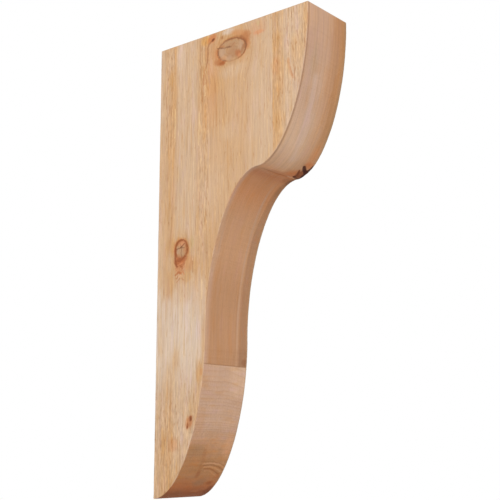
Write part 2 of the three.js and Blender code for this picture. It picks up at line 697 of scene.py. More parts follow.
# Patches of the near side, (out, down)
NEAR_PATCHES = (
    Oval(40, 20, 8, 24, 0.6, PALE),
    Oval(21.5, 49.5, 5, 12, 0.55, AMBER),
    Oval(60, 30, 9, 20, 0.35, STRAW),
    Oval(240, 24, 15, 26, 0.55, OAT),
    Oval(246, 60, 10, 22, 0.45, HONEY),
    Oval(237, 120, 12, 18, 0.45, OAT),
    Oval(101, 48, 10, 50, 0.55, FAWN, 0, 0.45),
    Oval(100.5, 78, 12, 16, 0.7, AMBER),
    Oval(96.5, 47.5, 4, 14, 0.4, BLUSH),
    Oval(96, 100, 13, 34, 0.4, FAWN, 0, 0.6),
    Oval(140, 32, 46, 30, 0.45, HONEY, 0, 0.45),
    Oval(87, 8, 8, 7, 0.8, GOLD),
    Oval(129, 5, 10, 4.5, 0.85, BLEACHED),
    Oval(181, 14, 13, 11, 0.5, FAWN),
    Oval(183, 20.5, 9, 3, 0.55, SALMON, 4),
    Oval(182, 7.5, 3, 3.5, 0.55, OLIVE),
    Oval(118, 11, 2.6, 2.6, 0.75, BRONZE),
    Oval(130, 148, 16, 12, 0.4, STRAW),
    Oval(105, 238, 24, 42, 0.4, STRAW),
    Oval(213, 44, 7, 14, 0.4, AMBER),
    Oval(213, 76, 7, 12, 0.5, OCHRE),
    Oval(213, 153, 7, 14, 0.45, AMBER),
    Oval(138, 64, 19, 9, 0.6, OAT, 0, 0.6),
    Oval(46, 314, 25, 34, 0.5, AMBER),
    Oval(25, 295, 8, 13, 0.5, AMBER),
    Oval(23.5, 318, 4.5, 13, 0.5, OAT, 0, 0.7),
    Oval(65, 294, 3, 8, 0.6, OLIVE),
    Oval(59, 322, 8.5, 12, 0.7, OCHRE, 0, 0.45),
    Oval(72, 327, 4.5, 13, 0.6, AMBER),
    Oval(54.5, 342, 9, 7, 0.5, AMBER),
    Oval(45, 285, 9, 2.4, 0.5, TAN),
    Oval(82, 374, 9, 34, 0.62, PALE),
    Oval(80, 472, 5, 15, 0.65, AMBER),
    Oval(84.5, 471, 2.8, 5, 0.7, OCHRE),
    Oval(38, 455, 7, 16, 0.45, TAN),
    Oval(12, 430, 6, 26, 0.4, STRAW),
    Oval(35, 565, 8, 9, 0.55, GINGER),
    Oval(48, 545, 6, 20, 0.45, PALE),
    Oval(22, 512, 9, 22, 0.15, AMBER),
    Oval(64, 536, 6, 9, 0.85, COPPER, 24),
    Oval(20, 505, 8, 26, 0.4, OAT),
    Oval(20, 18, 9, 18, 0.4, OAT),
    Oval(216, 16, 10, 16, 0.5, STRAW),
    Oval(19, 520, 8, 26, 0.3, PALE),
    Oval(7, 200, 5, 76, 0.4, HONEY),
    Oval(86, 74, 7, 50, 0.3, AMBER),
    Oval(100, 190, 26, 64, 0.35, OAT),
)

# Stains around the upper knot of the near side, and the spot and torn lines beside it
UPPER_KNOT_STAINS = (
    Oval(150, 12.5, 16, 4.6, 0.7, GINGER, 18),
    Oval(160.5, 21.5, 7, 9, 0.8, SIENNA, -8),
    Oval(164, 32, 3.6, 8, 0.6, COPPER, 4),
    Oval(113, 46.5, 10, 5, 0.85, SIENNA, 14),
    Oval(118, 48.8, 6, 2.6, 0.75, MAHOGANY, 8),
    Oval(134, 51, 8, 4, 0.55, PUTTY),
    Oval(107, 33, 3.4, 9, 0.45, COPPER),
    Line(((118, 22.5), (130, 17), (144, 16.6), (152, 19.5)), 0.8, 3, 0.55, BRONZE),
    Line(((152, 19.5), (159, 26), (160.2, 34), (156, 42)), 1.4, 3, 0.6, COCOA),
)
UPPER_KNOT_HEART = (
    Oval(130, 22.5, 16, 4.5, 0.5, PUTTY, 4),
    Oval(117.5, 33, 5.5, 6.5, 0.7, DRAB),
    Oval(121, 42, 6, 3.4, 0.6, FAWN, 12),
    Oval(151, 31, 4.5, 6.5, 0.6, DRAB),
    Oval(135, 26, 7, 3.4, 0.6, CLAY),
    Oval(136, 38, 8, 9, 0.75, CLAY, 20),
    Oval(130, 44, 5, 4, 0.45, DRAB),
    Line(((156, 32), (153, 39), (147, 43)), 1, 2.4, 0.55, COCOA),
    Oval(146, 40.5, 4.5, 5.5, 0.7, RUSSET, -30),
    Oval(148.5, 44, 2.8, 2.8, 0.5, SALMON, -30),
    Oval(118, 24.5, 5, 1.8, 0.6, SIENNA, 8),
    Line(((109, 25), (113.5, 25.5), (117.5, 26.2)), 0.4, 1.3, 0.65, BARK),
    Line(((116, 26), (121.5, 27.5), (126.5, 27.2), (134, 28.5)), 0.3, 1.2, 0.62, WALNUT),
    Line(((126.5, 27.6), (131, 28.2)), 0.6, 1.2, 0.5, BARK),
    Line(((134, 28.5), (140, 24)), 0.2, 1, 0.4, COCOA),
)
TORN_MARKS = (
    Oval(99, 7.5, 8.5, 5.5, 0.8, RUST, -24),
    Oval(88, 24, 2.5, 14, 0.5, GINGER),
    Line(((98.5, 10.5), (93.5, 14.5), (91, 20), (91.4, 28), (91, 37), (88.7, 46)),
         0.5, 1.8, 0.62, COCOA),
    Line(((88.7, 46), (84.5, 53), (87, 61), (89, 69), (86, 76), (87, 87)),
         0.4, 1.4, 0.5, SIENNA),
    Line(((77.5, 12), (77.6, 27), (76.6, 35), (79.4, 45), (79, 56), (81.2, 67), (80.6, 78),
          (81.4, 96)), 0.3, 1.4, 0.55, BRONZE),
    Line(((83.5, 58), (84, 72)), 0.4, 1.6, 0.6, SIENNA),
    Line(((86, 73), (86.6, 88.5)), 0.3, 1.1, 0.6, CREAM),
    Line(((93.4, 44), (92.6, 58)), 0.3, 1.4, 0.45, COPPER),
    Oval(100.5, 9.6, 3, 1.5, 0.85, UMBER, -24),
)

# Smaller marks of the near side: light grain lines, a slanting streak, and short dark strokes
NEAR_LINES = (
    Line(((29.6, 96), (30, 116), (29.4, 138)), 0.3, 1, 0.5, CREAM),
    Line(((75.8, 112), (76.2, 134), (75.4, 158)), 0.3, 1, 0.45, CREAM),
    Line(((83.6, 348), (84, 374)), 0.3, 1, 0.45, CREAM),
    Line(((11.5, 74), (12, 92)), 0.3, 1.2, 0.45, BRONZE),
    Line(((18, 88), (18.4, 99)), 0.3, 1.2, 0.5, BRONZE),
    Line(((22.5, 90), (22.2, 104)), 0.3, 1.2, 0.45, BRONZE),
    Line(((232, 72), (233.6, 82), (236.4, 92), (240, 99)), 0.4, 3, 0.5, GINGER),
    Line(((235.4, 84), (238.6, 96)), 0.2, 1.6, 0.4, SIENNA),
    Line(((231, 46), (232.6, 54)), 0.2, 1.5, 0.5, CLAY),
    Line(((66.2, 320), (66.8, 335.5)), 0.3, 1.1, 0.6, BRONZE),
)

# The stain under the lower knot, its heart with crossing checks, and the ripple below
LOWER_KNOT_STAINS = (
    Oval(43, 325, 9.5, 11, 0.8, COPPER, 0, 0.4),
    Oval(42.5, 317, 10, 8, 0.95, RUSSET, 0, 0.4),
    Oval(53, 314, 4, 4, 0.6, RUSSET),
)
LOWER_KNOT_HEART = (
    Oval(45.5, 305.5, 5, 5, 0.75, PUTTY),
    Oval(46, 293.5, 6.5, 3.4, 0.65, SALMON),
    Oval(51.5, 303, 3, 5, 0.5, COPPER),
    Oval(38.5, 303, 2.8, 4.4, 0.55, DRAB),
    Line(((45.5, 298.6), (36.5, 300.2)), 0.3, 1, 0.75, BARK),
    Line(((43, 298.8), (50.8, 294.2)), 0.4, 1, 0.75, UMBER),
    Line(((45.5, 298.4), (51, 300)), 0.2, 0.9, 0.6, BARK),
    Line(((45.5, 298.4), (42.4, 293)), 0.2, 0.9, 0.5, WALNUT),
    Line(((46, 299), (44.6, 307), (45.8, 312)), 0.3, 1, 0.65, WALNUT),
)
LOWER_KNOT_RIPPLE = (
    Line(((34.4, 300), (34.2, 312), (34.8, 320), (37.4, 324)), 0.9, 2, 0.8, CHESTNUT),
    Line(((36, 320), (42, 322.6), (47, 327)), 0.5, 1.8, 0.55, MAHOGANY),
    Line(((38, 317), (46, 315.6), (52, 311)), 0.6, 1.8, 0.6, CHESTNUT),
    Line(((39, 323), (47, 321)), 0.4, 1.6, 0.45, SALMON),
    Line(((35, 336.5), (40.5, 332.8), (44.5, 334.6)), 0.7, 1.4, 0.75, RUSSET),
    Line(((44.5, 334.6), (48.5, 333.4), (51, 336.8)), 0.3, 1.4, 0.5, RUST),
    Line(((36.5, 341.6), (39.5, 338.6)), 0.5, 1.2, 0.6, RUSSET),
    Line(((41, 339.6), (44, 337.2), (47, 339)), 0.2, 1.1, 0.4, APRICOT),
    Line(((40.5, 344), (43.5, 341.8)), 0.3, 1.2, 0.6, SIENNA),
    Line(((47, 342), (50, 345)), 0.2, 1.2, 0.55, SIENNA),
    Line(((36.5, 347), (38.5, 345.4)), 0.3, 1, 0.5, SIENNA),
)
SMALL_KNOT_MARKS = (
    Oval(65.8, 531, 2.4, 3.8, 0.88, CHESTNUT, 20),
    Oval(66.4, 532.6, 1.5, 1.9, 0.7, UMBER),
    Oval(60.4, 541, 1.9, 3.8, 0.8, MAHOGANY, 12),
    Oval(60, 543, 1.1, 1.5, 0.6, UMBER),
)

# Marks of the front, (x, sweep): patches of the bulges and the hollow, and the arcs low on it
FRONT_PATCHES = (
    Oval(-38, 12, 12, 22, 0.5, PEACH),
    Oval(24, 44, 12, 60, 0.55, FAWN),
    Oval(38, 40, 6, 50, 0.5, OCHRE),
    Oval(12, 92, 9, 22, 0.4, TAWNY),
    Oval(34, 512, 14, 14, 0.55, CLAY),
    Oval(39, 708, 9, 12, 0.75, CHESTNUT),
    Oval(18, 60, 8, 60, 0.35, FAWN),
    Oval(24, 512, 3.5, 12, 0.5, TAWNY),
    Oval(-36, 604, 10, 18, 0.5, TAWNY),
    # A painted shadow below the dead knot, reaching to the left
    Oval(35, 247, 9, 8, 0.6, SIENNA),
    Oval(38.5, 266, 5, 16, 0.6, CLAY),
    Oval(26, 18, 11, 22, 0.35, GINGER),
    Oval(-37, 372, 4, 34, 0.45, ROSE),
    Oval(28, 528, 16, 3.4, 0.5, BISQUE),
    Oval(-22, 74, 10, 22, 0.35, STRAW),
    Oval(14, 176, 8, 34, 0.4, PEACH),
    Oval(35, 198, 11, 20, 0.8, ORANGE),
    Oval(28, 229, 20, 9, 0.85, CORAL),
    Oval(4, 237, 24, 5, 0.6, SALMON),
    Oval(-15, 564, 17, 4, 0.55, BLUSH),
    Oval(31, 572, 12, 4, 0.6, BLUSH),
    Oval(-28, 589, 12, 3.5, 0.5, BLUSH),
    Oval(12, 603, 26, 3.5, 0.4, PEACH),
    Oval(37, 574, 3.6, 60, 0.35, BLUSH),
    Oval(14, 241, 28, 3.2, 0.5, CORAL),
    Oval(40, 518, 6, 5, 0.65, COCOA),
    Oval(40, 529, 6, 4, 0.5, SHELL),
    Oval(33, 634, 8, 20, 0.5, APRICOT),
    Oval(-30, 640, 18, 10, 0.45, PUTTY),
    Oval(8, 690, 13, 6.5, 0.6, CLAY),
    Oval(-26, 688, 14, 7, 0.4, RUST),
    Oval(28, 691, 5, 3.5, 0.6, MAHOGANY),
    Oval(34, 680, 6, 4, 0.55, RUST),
    Oval(11, 707, 8, 2.6, 0.6, RUST),
    Oval(27, 702, 6, 2.2, 0.55, RUST),
)
FRONT_LINES = (
    Line(((-4.5, 659.6), (12, 658.6), (28, 660.6), (42, 665.4)), 0.3, 1.6, 0.55, APRICOT),
    Line(((-2, 662), (13, 661.2), (27, 663.8), (41, 669)), 0.2, 1.6, 0.5, COCOA),
    Line(((0, 664.4), (13, 664), (26, 667.2), (39.5, 672.6)), 0.3, 1.6, 0.5, APRICOT),
    Line(((2, 667), (13, 667), (24, 670.6), (36.5, 676.4)), 0.2, 1.6, 0.5, MAHOGANY),
    Line(((4, 669.8), (13, 670.4), (23, 674.4), (33, 680)), 0.3, 1.6, 0.4, ORANGE),
    Line(((-8, 656.4), (14, 656.2), (30, 659.4), (43, 664.6)), 0.2, 1.5, 0.4, BRONZE),
    # A vertical band of painted shadow down the lower bulge
    Line(((-10, 642), (-6, 658), (-5.5, 676)), 1.2, 5, 0.34, SIENNA),
    Line(((-30, 238.8), (-12, 240.2), (6, 240.4), (22, 239.6)), 0.3, 2, 0.4, BRONZE),
    Oval(-5.5, 676, 4, 5.5, 0.5, RUSSET),
)

# The dead knot of the far corner of the front, and a painted shadow below it
DEAD_KNOT_AND_SHADOW_MARKS = (
    Oval(35, 207, 8.5, 5, 0.75, CORAL),
    Oval(24, 224, 4, 6, 0.55, CORAL),
    Oval(36.5, 224, 10, 9.5, 0.92, CHESTNUT, 0, 0.3),
    Oval(33, 223, 3.5, 4, 0.6, RUSSET),
    Line(((25.5, 219.5), (28, 224), (31, 229), (30, 233.5)), 1, 1.6, 0.85, CHESTNUT),
    Line(((30, 233), (38, 235.8), (44.5, 233.5)), 1.4, 1.6, 0.9, UMBER),
    Line(((29, 212.6), (33, 216), (38, 219)), 1.9, 1.9, 0.93, PITCH),
    Line(((44.5, 207), (41.5, 216), (41.6, 226), (44.5, 231)), 2.3, 1.8, 0.94, PITCH),
    Line(((35, 218), (41, 216)), 0.6, 1.6, 0.65, PITCH),
    Line(((22, 237.6), (42, 238.8)), 0.4, 1.3, 0.7, PEACH),
    # A painted shadow below the dead knot
    Oval(43.5, 248, 5.5, 10, 0.75, WALNUT),
)

# Stains and checks of the far side's knots, (out, down)
FAR_MARKS = (
    Oval(77, 166, 7, 10, 0.6, GINGER, -10),
    Oval(50, 190, 10, 5, 0.65, COPPER, 14),
    Oval(58, 171, 7, 5, 0.55, CLAY),
    Oval(69, 181, 5, 5, 0.6, BRONZE, 20),
    Oval(57, 182, 4, 3, 0.5, TAN),
    Line(((48, 178), (56, 175.5), (63, 177), (71, 172)), 0.4, 1.2, 0.65, BARK),
    Line(((62, 177), (65, 184.5)), 0.2, 1, 0.5, WALNUT),
    Oval(38, 471, 6, 11, 0.65, COPPER),
    Oval(40, 451, 4, 3.5, 0.5, CLAY),
    Line(((33, 457), (38, 455.5), (43.5, 451.5)), 0.3, 1, 0.7, BARK),
    Line(((38, 455), (39.5, 463)), 0.2, 0.9, 0.5, WALNUT),
)

# Drying checks of the sawn top, (x, out)
TOP_CHECKS = (
    Line(((-14, 96), (-12.5, 122), (-14.5, 151)), 0.2, 1.3, 0.6, BARK),
    Line(((17, 178), (20, 199), (20.5, 224)), 0.2, 1.2, 0.5, BARK),
    Line(((9, 30), (11.5, 52)), 0.1, 1.1, 0.45, WALNUT),
)


class Timber(Shade):
    """The shading of a point of the timber: where it lies, shared masks, and the colour so far."""

    def __init__(self, tree, colour=None):
        super().__init__(tree)
        self.colour = colour
        coordinates = self.node("ShaderNodeTexCoord")
        parts = self.node("ShaderNodeSeparateXYZ")
        self.put(parts.inputs[0], Value(self, coordinates.outputs["Object"]))
        self.x = Value(self, parts.outputs[0]) * METRE
        self.out = Value(self, parts.outputs[1]) * -METRE
        self.down = TOP - Value(self, parts.outputs[2]) * METRE
        self.place = self.vector(self.x, self.out, self.down)
        for name in ("sweep", "rim", "near_side", "far_side", "front", "back", "top"):
            setattr(self, name, self.attribute(name))
        self.along_front = self.vector(self.x, 0, self.sweep)
        self.ragged = self.noise(self.place, (3.2, 3.2, 5), 4, detail=2)
        self.ragged_too = self.noise(self.place, (3.4, 3.4, 4), 5, detail=2)
        self.grain_out = self.out - self.pushed_aside()
        self.grain = self.vector(self.x, self.grain_out, self.down)
        self.low_down = self.smooth(430, 560, self.down)
        self.torn = self.low_down + self.torn_bands()

    def paint(self, share, laid):
        """Lays a share of another tone over the colour."""
        laid = laid if isinstance(laid, Value) else tone(*laid)
        self.colour = self.mixed("MIX", share, self.colour, laid)

    def tint(self, share, factors):
        """Scales the colour's red, green and blue, by a share of the factors."""
        self.colour = self.mixed("MULTIPLY", share, self.colour, (*factors, 1))

    def brighten(self, factor):
        made = self.node("ShaderNodeHueSaturation")
        self.colour = self.filled(made, {"Value": factor, "Color": self.colour})

    def marks(self, marks, across, along, mask):
        """Lays ovals and lines on a face, their rims ragged like torn fibres."""
        across = across + self.ragged * 0.55
        along = along + self.ragged_too * 0.7
        for mark in marks:
            if isinstance(mark, Oval):
                radii = (mark.half_width, mark.half_height)
                away = self.oval(across, along, (mark.across, mark.along), radii, mark.tilt)
                laid = self.smooth(1 + mark.soft, 1 - mark.soft, away + self.ragged * 0.16)
            else:
                laid = self.line(across, along, mark.points, mark.half, mark.soft)
            self.paint(laid * mask * mark.share, mark.laid)

    def stage(self, build):
        """Runs one stage of the shading on the colour, in a node group of its own."""
        def fill(inside, colour):
            timber = Timber(inside.tree, colour)
            build(timber)
            return timber.colour

        self.colour = self.grouped(build.__name__, "NodeSocketColor", fill, self.colour)

    def pushed_aside(self):
        """How far the grain is pushed along "out" where it flows around the knots."""
        total = 0
        for knots, on_side in ((NEAR_KNOTS, self.smooth(-10, -30, self.x)),
                               (FAR_KNOTS, self.smooth(10, 30, self.x))):
            for knot in knots:
                reach = (1.45 * knot.radii[0], 1.9 * knot.radii[1])
                away = self.oval(self.out, self.down, knot.centre, reach)
                fading = self.math("EXPONENT", away * away * -1)
                total = (self.out - knot.centre[0]) * fading * on_side * 0.7 + total
        return total

    def torn_bands(self):
        """1 where the grain is torn: in bands of the near side, and here and there on the far side."""
        total = self.smooth(0.1, 0.9, self.noise(self.place, (16, 16, 120), 6)) * self.far_side
        for start, end, depth in TORN_BANDS:
            band = self.between(start, end, 3, self.out + self.ragged)
            total = band * self.smooth(depth + 60, depth - 40, self.down) * self.near_side + total
        return total

    def on_front(self, start, end, soft):
        """A mask of the front from one sweep to another."""
        return self.between(start, end, soft, self.sweep) * self.front


def ring_radius(wood):
    """The distance across the growth rings, with the unevenness of a real tree."""
    aside = wood.x - PITH_X
    bow = aside * aside * (1 - wood.front * 0.967) / (2 * PITH_BEHIND_WALL)
    level = 1 - wood.front * 0.72
    broad = wood.noise(wood.place, (60, 130, 300), 1) * level * 1.6
    return wood.grain_out + bow + broad + wood.noise(wood.place, (14, 14, 70), 2) * level * 0.22


def growth_rings(wood):
    """Each ring's darkening towards its latewood, and the random strength of the ring."""
    ring = ring_radius(wood) / (RING_SPACING * (1 - wood.front * 0.55))
    phase = wood.math("FRACT", ring)
    strength = wood.random(wood.math("FLOOR", ring))
    dark = wood.math("POWER", phase, 4) * wood.smooth(1, 0.92, phase)
    return dark * (strength * strength * 0.6 + 0.4), strength


def timber_material(name, stages):
    """The timber of one or more faces: broad tones, then each stage laid over them."""
    material = bpy.data.materials.new(name)
    material.use_nodes = True
    principled = material.node_tree.nodes["Principled BSDF"]
    wood = Timber(material.node_tree)

    # The broad tones of each face
    drift = wood.noise(wood.place, (30, 30, 90), 12) * 5 * (1 - wood.near_side)
    sway = wood.noise(wood.place, (20, 20, 110), 13) * 0.8
    wood.colour = wood.ramp(wood.out + drift + sway, SIDE_TONES)
    upper = wood.ramp(wood.sweep, UPPER_FRONT_TONES)
    lower = wood.ramp(wood.sweep, LOWER_FRONT_TONES)
    below_seam = wood.smooth(SWEEP_OF_TONE_SEAM - 0.3, SWEEP_OF_TONE_SEAM + 0.3, wood.sweep)
    wood.paint(wood.front, wood.mixed("MIX", below_seam, upper, lower))
    wood.paint(wood.back, BACK_TONE)
    wood.paint(wood.top, TOP_TONE)

    for build in stages:
        wood.stage(build)
    wood.put(principled.inputs["Base Color"], wood.colour)

    # A dry sawn surface: rough, a little more or less so along the grain and in patches
    close = wood.noise(wood.grain, (1, 1, 18), 31)
    roughness = 0.8 + close * 0.05 + wood.noise(wood.place, (18, 18, 40), 32) * 0.04
    wood.put(principled.inputs["Roughness"], roughness)
    principled.inputs["IOR"].default_value = 1.45
    principled.inputs["Specular IOR Level"].default_value = 0.35

    height = wood.noise(wood.grain, (0.9, 0.9, 16), 33, detail=2) * 0.5
    height = height + wood.noise(wood.grain, (2.6, 2.6, 5), 34) * (0.2 + wood.torn * 0.3)
    height = height + growth_rings(wood)[0] * -0.6
    bump = wood.node("ShaderNodeBump")
    bump.inputs["Strength"].default_value = 0.6
    bump.inputs["Distance"].default_value = 0.0004
    wood.put(bump.inputs["Height"], height)
    wood.put(principled.inputs["Normal"], Value(wood, bump.outputs["Normal"]))
    return material


def broad_near_side(wood):
    """The pale zone and the warmer foot of the near side."""
    out, down, near = wood.out, wood.down, wood.near_side
    streaky = wood.noise(wood.place, (5, 5, 60), 14, detail=2)
    cloudy = wood.noise(wood.place, (16, 16, 26), 15, detail=2)

    edge_down = down + streaky * 9 + cloudy * 13
    pale = wood.smooth(354, 397, edge_down) * wood.smooth(520, 430, edge_down)
    pale = pale * wood.between(10, 76, 14, out + cloudy * 4)
    wood.paint(pale * near * (streaky * 0.1 + 0.86), BLEACHED)
    left = wood.between(366, 475, 30, edge_down) * wood.smooth(16, 4, out)
    wood.paint(left * near * 0.85, BLEACHED)
    warm = wood.smooth(540, 610, down)
    wood.paint(warm * near * 0.45, HONEY)


def near_side_patches(wood):
    """The patches of the near side, over its broad tones."""
    wood.marks(NEAR_PATCHES, wood.out, wood.down, wood.near_side)


def broad_front(wood):
    """Broad streaks, the darker far band and the patches of the front."""
    x, sweep, front = wood.x, wood.sweep, wood.front
    wobble = wood.noise(wood.along_front, (25, 1, 55), 16, detail=2)
    across = x + wobble * 4

    # The upper bulge: orange towards the far edge, and a light streak down its middle
    upper = wood.on_front(0, 236, 8)
    wood.paint(wood.smooth(-2, 18, across) * upper * 0.8, TAWNY)
    far_share = wood.smooth(20, 31, across + wood.smooth(120, 20, sweep) * 3) * upper
    wood.paint(far_share * wood.smooth(232, 150, sweep) * 0.8, OCHRE)
    streak = wood.line(across, sweep, ((-15, 96), (-10, 160), (-4, 205)), 1, 9)
    wood.paint(streak * upper * 0.55, SHELL)

    # The hollow
    near_strip = wood.smooth(-34, -42, x) * wood.on_front(245, 522.5, 10)
    wood.paint(near_strip * 0.6, ROSE)
    chipped = x + wobble * 0.9 + wood.ragged * 0.35 - wood.smooth(350, 290, sweep) * 4.5
    band = wood.smooth(25.5, 28.5, chipped) * wood.on_front(285, 522.8, 42)
    wood.paint(band * 0.53, CLAY)
    mottled = wood.noise(wood.along_front, (4, 1, 12), 17)
    wood.tint(band * wood.smooth(0, 0.9, mottled) * 0.8, (1.06, 0.93, 0.8))
    light = wood.stripe(x + wobble * 0.7, 22, 0.8, 2.2) * wood.on_front(300, 522.8, 60)
    wood.paint(light * 0.65, BLUSH)

    # The lower bulge
    below = wood.on_front(SWEEP_OF_TONE_SEAM, 552, 25) * wood.smooth(523.8, 524.4, sweep)
    wood.paint(wood.smooth(-8, -42, x) * below * 0.75, BLUSH)
    wood.paint(wood.smooth(0, 40, x) * below * 0.8, BISQUE)
    left_low = wood.on_front(640, 668, 20) * wood.smooth(20, -25, x)
    wood.paint(left_low * 0.65, GINGER)
    blotches = wood.noise(wood.along_front, (14, 1, 7), 18, detail=2)
    low = wood.on_front(626, 740, 20)
    wood.tint(low * wood.smooth(0, 0.9, blotches) * 0.8, (1.08, 0.96, 0.82))
    wood.tint(low * wood.smooth(0, -0.9, blotches) * 0.7, (0.9, 0.92, 0.98))
    wood.marks(FRONT_PATCHES, across, sweep, front)
    wood.marks(FRONT_LINES, x, sweep, front)


def wood_figure(wood):
    """Growth rings, fibres and short strokes, over every face."""
    grain, front, top = wood.grain, wood.front, wood.top
    dark, strength = growth_rings(wood)
    quiet = 1 - front * 0.78 - top * 0.62
    calm = wood.between(100, 202, 6, wood.out) * 0.32 * wood.near_side
    pale_zone = wood.between(370, 470, 25, wood.down) * 0.2 * wood.near_side
    figured = quiet * (1 - calm - pale_zone + wood.low_down * 0.25)

    patchy = wood.noise(grain, (4, 4, 60), 21)
    fibre = wood.noise(grain, (1.6, 1.6, 48), 22, detail=2)
    fine = wood.noise(grain, (0.8, 0.8, 14), 23, detail=2)
    flecks = wood.noise(grain, (2.4, 2.4, 8), 26) * wood.torn
    change = patchy * 0.05 + fibre * 0.125 + fine * 0.105 + flecks * 0.105
    wood.brighten(1 + change * figured)

    # Honey and pink come and go along the grain
    warmth = wood.noise(grain, (4.6, 4.6, 40), 24, detail=2)
    warmth = warmth + wood.noise(grain, (14, 14, 36), 29) * 0.35
    honey = wood.smooth(0.05, 0.95, warmth) * figured
    pink = wood.smooth(-0.05, -0.95, warmth) * figured
    wood.tint(honey * 0.72, (1, 0.89, 0.68))
    wood.tint(pink * 0.72, (1.02, 1.02, 1.22))

    # Hair lines where two growths meet, light and dark
    meeting = wood.absolute(wood.noise(grain, (4.4, 4.4, 130), 30))
    wood.tint(wood.smooth(0.09, 0.01, meeting) * quiet * 0.6, (0.84, 0.72, 0.58))
    parting = wood.absolute(wood.noise(grain, (5, 5, 110), 35))
    wood.tint(wood.smooth(0.08, 0.01, parting) * quiet * 0.65, (1.13, 1.13, 1.06))

    # Soft streaks down the front
    streaks = wood.noise(wood.along_front, (3.2, 1, 120), 27, detail=2)
    fading = wood.smooth(560, 500, wood.sweep) * 0.85 + 0.15
    fading = fading + wood.smooth(250, 215, wood.sweep) * 0.45
    broad = wood.noise(wood.along_front, (16, 1, 60), 37)
    wood.brighten(1 + (streaks * fading * 0.072 + broad * 0.024) * front)
    hue = wood.noise(wood.along_front, (9, 1, 42), 28, detail=2)
    level_hue = wood.noise(wood.along_front, (30, 1, 6), 36)
    on_low = wood.on_front(SWEEP_OF_TONE_SEAM, 740, 2)
    hue = hue + (level_hue - hue) * on_low
    wood.tint(wood.smooth(0, 0.9, hue) * front * 0.8, (1, 0.92, 0.78))
    wood.tint(wood.smooth(0, -0.9, hue) * front * 0.7, (1.02, 1.01, 1.16))

    # Ring lines: plain on the lower bulge and the top, faint where the saw ran with the grain
    darker = 0.5 - front * 0.42 + on_low * 0.5 + top * 0.3 + wood.back * 0.15
    wood.tint(dark * darker, (0.72, 0.56, 0.42))
    wood.brighten(1 + (0.5 - strength) * on_low * 0.05)

    # Short strokes, closer together where the grain is torn
    stroke = wood.noise(grain, (1.7, 1.7, 9), 25)
    more = wood.torn * 0.26
    wood.tint(wood.smooth(0.5, 1, stroke + more) * quiet * 0.6, (0.76, 0.6, 0.42))
    light = wood.smooth(-0.5, -1, stroke - more) * quiet
    wood.tint(light * 0.75, (1.16, 1.18, 1.12))


def paint_knot(wood, knot, mask, seed, rim, rim_width):
    """A knot: a stained halo, a heart with its own rings, and a dark rim of uneven width."""
    rough = wood.noise(wood.place, (8, 8, 8), seed)
    blotchy = wood.noise(wood.place, (3.6, 3.6, 3.6), seed + 1, detail=2)
    away = wood.oval(wood.out, wood.down, *knot)
    away = away + rough * 0.05 + wood.ragged * 0.035
    halo = wood.smooth(1.75, 1, away + wood.ragged * 0.15) * mask
    wood.tint(halo * 0.75, (0.96, 0.84, 0.68))
    wood.paint(wood.smooth(1, 0.88, away) * mask * 0.95, PUTTY)
    rings = wood.math("SINE", away * 24 + rough * 2) * wood.smooth(0.97, 0.8, away) * mask
    wood.tint(wood.smooth(0.1, 1, rings) * 0.5, (0.84, 0.72, 0.6))
    inside = wood.smooth(1, 0.9, away) * mask
    wood.tint(inside * wood.smooth(0, 0.9, blotchy) * 0.8, (1.06, 0.94, 0.8))
    wood.tint(inside * wood.smooth(0, -0.9, blotchy) * 0.8, (0.84, 0.86, 0.9))
    width = rim_width * (rough * 0.45 + 1)
    edge = wood.absolute(away - 1) / width
    wood.tint(wood.smooth(2.6, 0.8, edge) * mask * 0.75, (0.92, 0.66, 0.46))
    dark = wood.smooth(1.3, 0.5, edge) * wood.smooth(-1.1, -0.1, blotchy)
    wood.paint(dark * mask * 0.85, rim)


def upper_knot(wood):
    """The large knot near the top, its crack and stains, and the torn grain beside it."""
    out, down, near = wood.out, wood.down, wood.near_side

    wood.marks(UPPER_KNOT_STAINS, out, down, near)
    open_low = 1 - wood.smooth(1.4, 0.5, wood.oval(out, down, (136, 51), (13, 7))) * 0.75
    paint_knot(wood, NEAR_KNOTS[0], near * open_low, 42, WALNUT, 0.062)
    wood.marks(UPPER_KNOT_HEART, out, down, near)
    wood.marks(TORN_MARKS, out, down, near)
    wood.marks(NEAR_LINES, out, down, near)


def lower_knot(wood):
    """The knot low on the leg, its red-brown tail and ripple, and the small knot further down."""
    out, down, near = wood.out, wood.down, wood.near_side
    wood.marks(LOWER_KNOT_STAINS, out, down, near)
    slanting = wood.noise(wood.vector(wood.x, out + down * 0.5, down), (3.2, 3.2, 2.4), 44)
    tail = wood.smooth(1.3, 0.7, wood.oval(out, down, (43, 320), (10.5, 13))) * near
    wood.tint(tail * wood.smooth(0.1, 0.8, slanting) * 0.9, (0.7, 0.52, 0.4))
    wood.tint(tail * wood.smooth(-0.2, -0.8, slanting) * 0.9, (1.22, 1.18, 1.12))
    closed = wood.smooth(315, 306, down) * 0.85 + 0.15
    paint_knot(wood, NEAR_KNOTS[1], near * closed, 46, CHESTNUT, 0.17)
    wood.marks(LOWER_KNOT_HEART, out, down, near)
    wood.marks(LOWER_KNOT_RIPPLE, out, down, near)
    wood.marks(SMALL_KNOT_MARKS, out, down, near)


